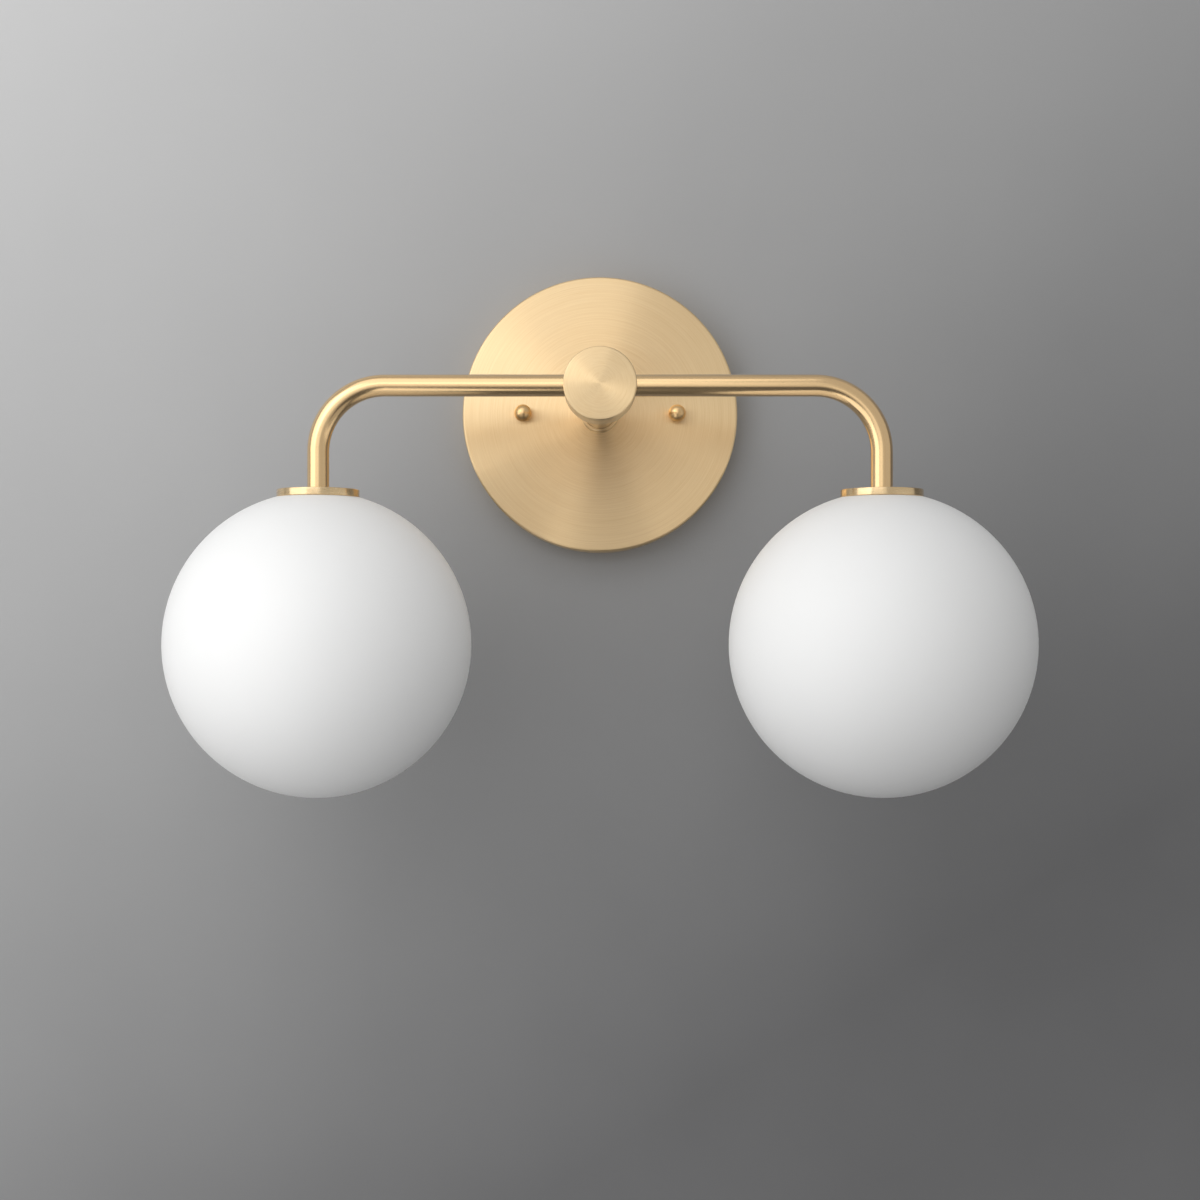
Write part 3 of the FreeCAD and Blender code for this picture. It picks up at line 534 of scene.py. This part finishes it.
def connector_grips(material):
    """Ribs down the sides of the wire caps."""
    ribs, start, proud, width, length = 14, 2 * MM, 0.6 * MM, 0.7 * MM, 9 * MM
    low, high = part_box("wire_connectors")
    radius, middle = (high.y - low.y) / 2, (low.y + high.y) / 2
    form = bmesh.new()
    for x in (low.x + radius, high.x - radius):
        for rib in range(ribs):
            turn = Matrix.Rotation(math.tau * rib / ribs, 4, "Z")
            foot = Matrix.Translation((x, middle, low.z + start)) @ turn
            block(form, foot @ Matrix.Translation((radius, 0, 0)), proud, width, length, 0.8)
    piece_of("wire_cap_ribs", form, material, "fixture")


# Other finishes


def plain_metal(name, light, deep, rough):
    """Machined or plated metal with a fine even grain."""
    finish = Finish(name)
    place = finish.vector(*finish.place())
    grit = finish.noise(place, 900.0, 3.0)
    patch = finish.noise(place, 60.0)
    return finish.shade(
        Base_Color=finish.mix_colour(grit * 0.5 + patch * 0.5, deep, light),
        Metallic=1.0,
        Roughness=rough + (patch - 0.5) * 0.1,
        Normal=finish.bump(grit, 0.01 * MM, 0.4),
    )


def plain_coat(name, light, deep, rough):
    """Moulded, fired or painted surface with a faint grain."""
    finish = Finish(name)
    place = finish.vector(*finish.place())
    grit = finish.noise(place, 500.0, 3.0)
    patch = finish.noise(place, 50.0)
    return finish.shade(
        Base_Color=finish.mix_colour(grit * 0.4 + patch * 0.6, deep, light),
        Roughness=rough + (patch - 0.5) * 0.08,
        Normal=finish.bump(grit, 0.02 * MM, 0.4),
    )


def opal_glass():
    """Etched opal glass, white all through, with the faintest cloudiness."""
    finish = Finish("opal_glass")
    place = finish.vector(*finish.place())
    cloud = finish.noise(place, 16.0, 3.0)
    etch = finish.noise(place, 2200.0)
    return finish.shade(
        Base_Color=finish.mix_colour(cloud, linear(245, 245, 244), linear(250, 250, 249)),
        Roughness=0.52 + (etch - 0.5) * 0.1,
        Normal=finish.bump(etch, 0.008 * MM, 0.3),
        Specular_IOR_Level=0.35,
        Subsurface_Weight=0.2,
        Subsurface_Radius=(1.0, 1.0, 1.0),
        Subsurface_Scale=2 * MM,
    )


def clear_glass():
    finish = Finish("clear_glass")
    smear = finish.noise(finish.vector(*finish.place()), 90.0)
    return finish.shade(
        Base_Color=linear(250, 252, 251),
        Roughness=0.02 + smear * 0.04,
        Transmission_Weight=1.0,
        IOR=1.47,
    )


# The fixture, dressed


def dress(nodes, material):
    for node in nodes:
        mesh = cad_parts[node].data
        mesh.materials.clear()
        mesh.materials.append(material)


def both(name):
    return [f"{side}_{name}" for side in SIDES]


def turned_brass_pieces():
    canopy()
    hub()
    for node in ("base_collar", "stem_tube"):
        dress([node], lathe_brass(f"{node}_brass", node, "Y"))
    for side in SIDES:
        fitter_disc(side)


def arms_and_nuts():
    dress(both("arm"), drawn_brass("arm_brass"))
    dress(["ball_nuts"], plain_metal("ball_nut_brass", linear(248, 212, 158), linear(226, 184, 126), 0.3))
    dress(both("arm_nut") + ["canopy_locknut"], plain_metal("plain_brass", BRASS_LIGHT, BRASS_DEEP, 0.3))


def wall_fixings(zinc):
    dress(["mounting_plate", "canopy_studs", "centre_rod", "lock_washer"], zinc)
    dress(["ground_screw"], plain_metal("earth_screw_steel", linear(70, 160, 90), linear(40, 120, 60), 0.4))
    dress(["arm_set_screws"], plain_metal("black_steel", linear(50, 50, 52), linear(30, 30, 32), 0.45))


def wiring():
    nylon = plain_coat("connector_nylon", linear(240, 237, 228), linear(228, 224, 213), 0.5)
    dress(["wire_connectors"], nylon)
    connector_grips(nylon)
    dress(both("lamp_leads"), plain_coat("lead_sleeve", linear(236, 233, 226), linear(222, 219, 211), 0.6))


def carriers_and_holders(zinc, aluminium):
    dress(both("glass_carrier"), aluminium)
    dress(both("gasket"), plain_coat("silicone", linear(238, 238, 234), linear(226, 226, 221), 0.6))
    glazed = plain_coat("holder_ceramic", linear(245, 243, 238), linear(236, 233, 227), 0.22)
    dress(both("lampholder"), glazed)
    phosphor = plain_coat("led_phosphor", linear(240, 205, 90), linear(228, 188, 70), 0.35)
    for side in SIDES:
        holder_screws(side, zinc)
        globe_thread(side, aluminium)
        led_chips(side, phosphor)


def lamps_and_globes():
    nickel = plain_metal("contact_steel", linear(222, 220, 214), linear(196, 194, 188), 0.2)
    dress(both("contacts") + both("bulb_pins"), nickel)
    unglazed = plain_coat("lamp_base_ceramic", linear(246, 246, 243), linear(236, 236, 232), 0.5)
    board = plain_coat("led_board", linear(247, 243, 218), linear(240, 232, 190), 0.5)
    dress(both("bulb_base"), unglazed)
    dress(both("bulb_led_stick"), board)
    dress(both("bulb_envelope"), clear_glass())
    dress(both("globe"), opal_glass())


def fixture():
    turned_brass_pieces()
    arms_and_nuts()
    zinc = plain_metal("zinc_steel", linear(205, 208, 212), linear(170, 174, 180), 0.35)
    aluminium = plain_metal("carrier_aluminium", linear(226, 227, 229), linear(198, 199, 202), 0.35)
    wall_fixings(zinc)
    wiring()
    carriers_and_holders(zinc, aluminium)
    lamps_and_globes()


# Stage, light and camera


BOX_OPENING = 70 * MM  # radius of the opening in the wall
LIT_POINT = Vector((0, ARM_Y, -0.06))
CAMERA_AWAY, CAMERA_HEIGHT = 0.925, -0.1229


def shaded_wall_paint():
    """Pale grey with painted shade that darkens it towards the lower right, as falling-off light would,
    open where the wall box is and clear from behind.
    """
    finish = Finish("shaded_wall_paint")
    x, y, z = finish.place()
    place = finish.vector(x, y, z)
    # Painted shade: the paint goes from the pale to the deep grey from upper left to lower right, standing
    # in for the lamps' light falling off.
    painted_falloff = (x * 0.72 - z * 1.15 + 0.52).above(0.0).below(1.0)
    mottle_and_painted_shade = finish.noise(place, 6.0, 4.0) * 0.1 + painted_falloff * 0.9
    paint = finish.shader(
        Base_Color=finish.mix_colour(mottle_and_painted_shade, linear(205, 205, 205), linear(102, 102, 103)),
        Roughness=0.75,
        Normal=finish.bump(finish.noise(place, 420.0, 3.0), 0.12 * MM, 0.5),
    )
    behind = finish.node("ShaderNodeNewGeometry", output="Backfacing")
    in_opening = (x * x + z * z).math("LESS_THAN", BOX_OPENING**2)
    clear = finish.node("ShaderNodeBsdfTransparent")
    mixed = {0: behind.above(in_opening), 1: paint, 2: clear}
    return finish.end(finish.node("ShaderNodeMixShader", None, mixed))


def sheet_of(name, corners, material):
    """A flat stage surface that casts no shadow."""
    mesh = bpy.data.meshes.new(name)
    mesh.from_pydata(corners, [], [range(4)])
    mesh.materials.append(material)
    piece = shown(name, mesh)
    piece.visible_shadow = False


def stage():
    """Wall just behind the light, and a floor that starts at the wall's foot."""
    paint = shaded_wall_paint()
    wide, low, front = 3.0, -1.1, -3.0
    back = cad_box[1].y + 0.2 * MM
    foot_left, foot_right = (-wide, back, low), (wide, back, low)
    sheet_of("wall", [foot_left, foot_right, (wide, back, wide), (-wide, back, wide)], paint)
    sheet_of("floor", [(-wide, front, low), (wide, front, low), foot_right, foot_left], paint)


def softbox(name, azimuth, elevation, distance, width, height, watts):
    """An area lamp on a sphere round the fixture, aimed at it. Azimuth turns to the right."""
    turn, rise = math.radians(azimuth), math.radians(elevation)
    away = Vector((math.sin(turn) * math.cos(rise), -math.cos(turn) * math.cos(rise), math.sin(rise)))
    light = bpy.data.lights.new(name, "AREA")
    light.shape = "RECTANGLE"
    light.size, light.size_y = width, height
    light.energy = watts
    lamp = shown(name, light)
    lamp.location = LIT_POINT + away * distance
    lamp.rotation_mode = "QUATERNION"
    lamp.rotation_quaternion = away.to_track_quat("Z", "Y")


def world_light(strength):
    world = bpy.data.worlds.new("studio")
    world.use_nodes = True
    background = world.node_tree.nodes["Background"]
    background.inputs["Color"].default_value = (1, 1, 1, 1)
    background.inputs["Strength"].default_value = strength
    bpy.context.scene.world = world


def lights():
    softbox("side", azimuth=-54, elevation=14, distance=0.9, width=0.8, height=1.0, watts=2.85)
    softbox("top", azimuth=-22, elevation=40, distance=1.0, width=0.9, height=1.1, watts=2.2)
    softbox("front", azimuth=-8, elevation=10, distance=1.6, width=1.0, height=1.0, watts=1.4)
    softbox("low_right", azimuth=60, elevation=-30, distance=1.2, width=1.0, height=1.0, watts=1.0)
    softbox("low_left", azimuth=-42, elevation=-38, distance=0.9, width=0.8, height=0.8, watts=2.2)
    world_light(0.52)


def camera():
    """At the photograph's viewpoint: square on, a little below the arms."""
    lens = bpy.data.cameras.new("camera")
    lens.sensor_width = 36.0
    lens.lens = 56.55
    lens.shift_y = 0.03
    seat = shown("camera", lens)
    seat.location = (0, ARM_Y - CAMERA_AWAY, CAMERA_HEIGHT)
    seat.rotation_euler = (math.pi / 2, 0, 0)
    bpy.context.scene.camera = seat


fixture()
stage()
lights()
camera()
bpy.context.scene.view_settings.view_transform = "Standard"
